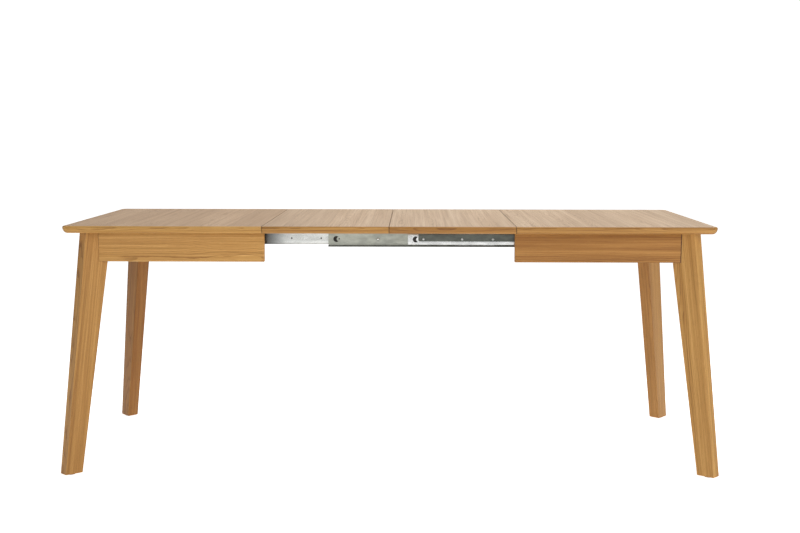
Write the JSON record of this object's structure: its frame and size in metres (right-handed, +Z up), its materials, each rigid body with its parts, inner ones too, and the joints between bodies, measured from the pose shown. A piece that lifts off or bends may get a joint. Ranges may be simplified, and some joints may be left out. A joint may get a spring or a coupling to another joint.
{
  "type": "extendable dining table",
  "caption": "Oak-look dining table, pulled out on ball slides with two loose leaves in place, on splayed wedge legs set across the corners",
  "frame": {"origin": "middle of the table's bounding box, on the floor", "axes": "+X along the table's length, +Y from the front to the back, +Z up"},
  "size_m": [2.0006, 0.8406, 0.76],
  "materials": {
    "top_veneer": "oak veneer, matt lacquer, grain across the table on the surface",
    "frame_oak": "golden oak, matt lacquer, grain along the piece",
    "hidden_oak": "planed oak, unlacquered",
    "slide_zinc": "bright zinc-plated sheet steel",
    "strip_steel": "dull grey strip steel",
    "cage_steel": "zinc-plated cage with bright steel balls",
    "bolt_steel": "zinc-plated bolt, nut and washer",
    "glide_nylon": "dark matt nylon"
  },
  "bodies": {
    "right_half": {"back_right_apron": "frame_oak", "back_right_corner_block": "hidden_oak", "back_right_foot_glide": "glide_nylon", "back_right_leg": "frame_oak", "back_right_leg_bolt_lower": "bolt_steel", "back_right_leg_bolt_upper": "bolt_steel", "back_right_rail": "slide_zinc", "back_right_rail_screw_1": "slide_zinc", "back_right_rail_screw_2": "slide_zinc", "back_right_runner": "hidden_oak", "front_right_apron": "frame_oak", "front_right_corner_block": "hidden_oak", "front_right_foot_glide": "glide_nylon", "front_right_leg": "frame_oak", "front_right_leg_bolt_lower": "bolt_steel", "front_right_leg_bolt_upper": "bolt_steel", "front_right_mount_strip": "strip_steel", "front_right_rail": "slide_zinc", "front_right_rail_screw_1": "slide_zinc", "front_right_rail_screw_2": "slide_zinc", "right_end_apron": "frame_oak", "right_top_half": "top_veneer"},
    "left_half": {"back_left_apron": "frame_oak", "back_left_corner_block": "hidden_oak", "back_left_foot_glide": "glide_nylon", "back_left_leg": "frame_oak", "back_left_leg_bolt_lower": "bolt_steel", "back_left_leg_bolt_upper": "bolt_steel", "back_left_mount_strip": "strip_steel", "back_left_rail": "slide_zinc", "back_left_rail_screw_1": "slide_zinc", "back_left_rail_screw_2": "slide_zinc", "front_left_apron": "frame_oak", "front_left_corner_block": "hidden_oak", "front_left_foot_glide": "glide_nylon", "front_left_leg": "frame_oak", "front_left_leg_bolt_lower": "bolt_steel", "front_left_leg_bolt_upper": "bolt_steel", "front_left_rail": "slide_zinc", "front_left_rail_screw_1": "slide_zinc", "front_left_rail_screw_2": "slide_zinc", "front_left_runner": "hidden_oak", "left_end_apron": "frame_oak", "left_top_half": "top_veneer"},
    "left_leaf": {"left_leaf": "top_veneer", "left_leaf_batten": "hidden_oak"},
    "right_leaf": {"right_leaf": "top_veneer", "right_leaf_batten": "hidden_oak"},
    "front_slide_middle": {"front_left_channel": "slide_zinc", "front_right_channel": "slide_zinc", "front_rivet_1": "slide_zinc", "front_rivet_2": "slide_zinc"},
    "back_slide_middle": {"back_left_channel": "slide_zinc", "back_right_channel": "slide_zinc", "back_rivet_1": "slide_zinc", "back_rivet_2": "slide_zinc"},
    "front_left_ball_cage": {"front_left_ball_cage": "cage_steel"},
    "front_right_ball_cage": {"front_right_ball_cage": "cage_steel"},
    "back_left_ball_cage": {"back_left_ball_cage": "cage_steel"},
    "back_right_ball_cage": {"back_right_ball_cage": "cage_steel"}
  },
  "joints": [
    {"name": "close", "type": "slide", "parent": "right_half", "child": "left_half", "axis": [1, 0, 0], "range_m": [0, 0.76]},
    {"name": "left_leaf_lift", "type": "slide", "parent": "right_half", "child": "left_leaf", "axis": [0, 0, 1], "range_m": [0, 0.76]},
    {"name": "right_leaf_lift", "type": "slide", "parent": "right_half", "child": "right_leaf", "axis": [0, 0, 1], "range_m": [0, 0.76]},
    {"name": "front_slide_middle_travel", "type": "slide", "parent": "right_half", "child": "front_slide_middle", "axis": [1, 0, 0], "range_m": [0, 0.2698]},
    {"name": "back_slide_middle_travel", "type": "slide", "parent": "right_half", "child": "back_slide_middle", "axis": [1, 0, 0], "range_m": [0, 0.4903]},
    {"name": "front_left_ball_cage_travel", "type": "slide", "parent": "right_half", "child": "front_left_ball_cage", "axis": [1, 0, 0], "range_m": [0, 0.515]},
    {"name": "front_right_ball_cage_travel", "type": "slide", "parent": "right_half", "child": "front_right_ball_cage", "axis": [1, 0, 0], "range_m": [0, 0.1349]},
    {"name": "back_left_ball_cage_travel", "type": "slide", "parent": "right_half", "child": "back_left_ball_cage", "axis": [1, 0, 0], "range_m": [0, 0.6251]},
    {"name": "back_right_ball_cage_travel", "type": "slide", "parent": "right_half", "child": "back_right_ball_cage", "axis": [1, 0, 0], "range_m": [0, 0.2452]}
  ],
  "couplings": [
    {"joint": "left_leaf_lift", "follows": "close", "ratio": 1},
    {"joint": "right_leaf_lift", "follows": "close", "ratio": 1},
    {"joint": "front_slide_middle_travel", "follows": "close", "ratio": 0.355},
    {"joint": "back_slide_middle_travel", "follows": "close", "ratio": 0.645},
    {"joint": "front_left_ball_cage_travel", "follows": "close", "ratio": 0.6775},
    {"joint": "front_right_ball_cage_travel", "follows": "close", "ratio": 0.1775},
    {"joint": "back_left_ball_cage_travel", "follows": "close", "ratio": 0.8225},
    {"joint": "back_right_ball_cage_travel", "follows": "close", "ratio": 0.3225}
  ]
}
